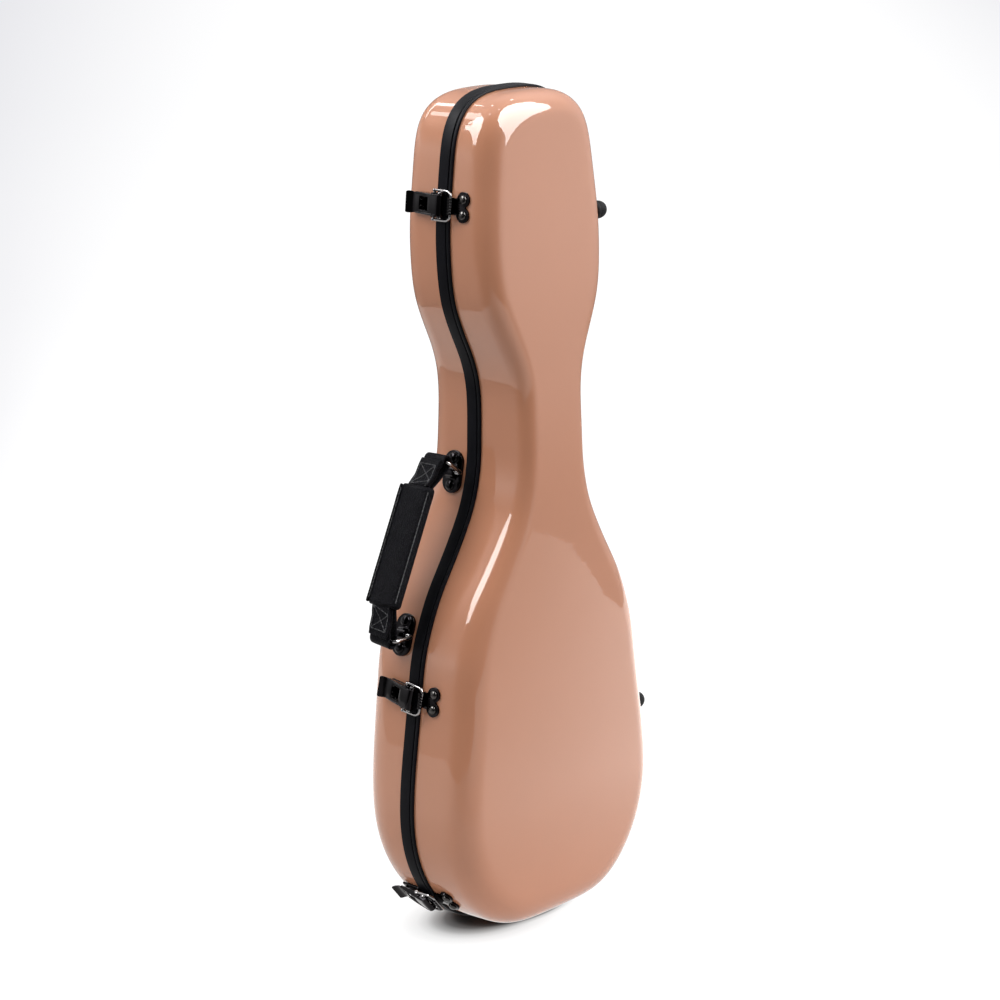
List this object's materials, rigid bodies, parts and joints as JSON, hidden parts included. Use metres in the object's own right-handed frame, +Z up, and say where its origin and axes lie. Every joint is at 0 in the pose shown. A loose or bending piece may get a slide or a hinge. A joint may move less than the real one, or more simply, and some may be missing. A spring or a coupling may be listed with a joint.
{
  "type": "ukulele case",
  "caption": "Hard-shell case shaped to a concert ukulele: hinged lid, draw latches, ring-mounted leather handle, rubber edge bands and a plush interior with an accessory box.",
  "frame": {"origin": "centre of the overall box at its lowest face, where the bottom feet stand", "axes": "+Z up from the bottom end to the head end, -Y towards the lid's face, -X towards the latches and the handle, +X towards the hinges"},
  "size_m": [0.262, 0.122, 0.6763],
  "materials": {
    "shell_paint": "high-gloss lacquer on glass fibre, rose beige",
    "edge_band": "satin black moulded rubber",
    "black_nickel": "polished black nickel on steel",
    "bright_nickel": "polished dark nickel",
    "leather": "fine pebbled black leather",
    "plush_lining": "short-pile plush over foam",
    "foot_rubber": "matt black rubber",
    "ribbon": "woven ribbon"
  },
  "bodies": {
    "base": {"base_shell": "shell_paint", "base_edge_band": "edge_band", "base_lining": "plush_lining", "upper_latch_plate": "black_nickel", "lower_latch_plate": "black_nickel", "bottom_latch_plate": "black_nickel", "upper_latch_pin": "black_nickel", "lower_latch_pin": "black_nickel", "bottom_latch_pin": "black_nickel", "handle_upper_plate": "black_nickel", "handle_upper_rivet_a": "bright_nickel", "handle_upper_rivet_b": "bright_nickel", "handle_lower_plate": "black_nickel", "handle_lower_rivet_a": "bright_nickel", "handle_lower_rivet_b": "bright_nickel", "upper_hinge_base_leaf": "black_nickel", "lower_hinge_base_leaf": "black_nickel", "upper_hinge_pin": "black_nickel", "lower_hinge_pin": "black_nickel", "neck_cradle": "plush_lining", "accessory_tray": "plush_lining", "side_foot_base_upper": "foot_rubber", "side_foot_base_lower": "foot_rubber", "bottom_foot_base_left": "foot_rubber", "bottom_foot_base_right": "foot_rubber"},
    "lid": {"lid_shell": "shell_paint", "lid_edge_band": "edge_band", "lid_lining": "plush_lining", "upper_latch_strike": "black_nickel", "lower_latch_strike": "black_nickel", "bottom_latch_strike": "black_nickel", "upper_strike_rivet_a": "bright_nickel", "upper_strike_rivet_b": "bright_nickel", "lower_strike_rivet_a": "bright_nickel", "lower_strike_rivet_b": "bright_nickel", "bottom_strike_rivet_a": "bright_nickel", "bottom_strike_rivet_b": "bright_nickel", "upper_hinge_lid_leaf": "black_nickel", "lower_hinge_lid_leaf": "black_nickel", "side_foot_lid_upper": "foot_rubber", "side_foot_lid_lower": "foot_rubber", "bottom_foot_lid_left": "foot_rubber", "bottom_foot_lid_right": "foot_rubber"},
    "upper_lever": {"upper_latch_lever": "black_nickel"},
    "upper_link": {"upper_latch_link": "black_nickel"},
    "lower_lever": {"lower_latch_lever": "black_nickel"},
    "lower_link": {"lower_latch_link": "black_nickel"},
    "bottom_lever": {"bottom_latch_lever": "black_nickel"},
    "bottom_link": {"bottom_latch_link": "black_nickel"},
    "upper_ring": {"handle_upper_ring": "bright_nickel"},
    "lower_ring": {"handle_lower_ring": "bright_nickel"},
    "handle": {"handle_strap": "leather", "handle_grip": "leather"},
    "accessory_lid": {"accessory_lid": "plush_lining", "accessory_lid_tab": "ribbon"}
  },
  "joints": [
    {"name": "lid_open", "type": "hinge", "parent": "base", "child": "lid", "pos_m": [0.1264, -0.00104, 0.13879], "axis": [-0.1057, 0, 0.9944], "range_deg": [0, 105]},
    {"name": "upper_lever_turn", "type": "hinge", "parent": "base", "child": "upper_lever", "pos_m": [-0.07676, 0.00246, 0.59105], "axis": [0.095, 0, 0.9955], "range_deg": [0, 100]},
    {"name": "upper_link_turn", "type": "hinge", "parent": "upper_lever", "child": "upper_link", "pos_m": [-0.07646, 0.00846, 0.59102], "axis": [0.095, 0, 0.9955], "range_deg": [-125, 0]},
    {"name": "lower_lever_turn", "type": "hinge", "parent": "base", "child": "lower_lever", "pos_m": [-0.11585, 0.00248, 0.20411], "axis": [0.1253, -0.1219, 0.9846], "range_deg": [0, 100]},
    {"name": "lower_link_turn", "type": "hinge", "parent": "lower_lever", "child": "lower_link", "pos_m": [-0.11546, 0.00844, 0.20479], "axis": [0.1253, -0.1219, 0.9846], "range_deg": [-125, 0]},
    {"name": "bottom_lever_turn", "type": "hinge", "parent": "base", "child": "bottom_lever", "pos_m": [-0.09691, 0.00246, 0.02917], "axis": [-0.6658, 0, 0.7461], "range_deg": [0, 100]},
    {"name": "bottom_link_turn", "type": "hinge", "parent": "bottom_lever", "child": "bottom_link", "pos_m": [-0.09668, 0.00846, 0.02937], "axis": [-0.6658, 0, 0.7461], "range_deg": [-125, 0]},
    {"name": "handle_swing", "type": "hinge", "parent": "base", "child": "upper_ring", "pos_m": [-0.04393, 0.02246, 0.37188], "axis": [0, 1, 0], "range_deg": [-20, 25]},
    {"name": "strap_turn", "type": "hinge", "parent": "upper_ring", "child": "handle", "pos_m": [-0.06048, 0.02246, 0.38398], "axis": [0, 1, 0], "range_deg": [-23, 19]},
    {"name": "lower_ring_swing", "type": "hinge", "parent": "base", "child": "lower_ring", "pos_m": [-0.10448, 0.02246, 0.25105], "axis": [0, 1, 0], "range_deg": [-23, 29]},
    {"name": "accessory_lid_open", "type": "hinge", "parent": "base", "child": "accessory_lid", "pos_m": [0.00097, 0.01151, 0.5125], "axis": [1, 0, 0], "range_deg": [0, 85]}
  ],
  "couplings": [
    {"joint": "upper_link_turn", "follows": "upper_lever_turn", "ratio": -1.25},
    {"joint": "lower_link_turn", "follows": "lower_lever_turn", "ratio": -1.25},
    {"joint": "bottom_link_turn", "follows": "bottom_lever_turn", "ratio": -1.25},
    {"joint": "strap_turn", "follows": "handle_swing", "ratio": -0.91},
    {"joint": "lower_ring_swing", "follows": "handle_swing", "ratio": 1.15}
  ]
}
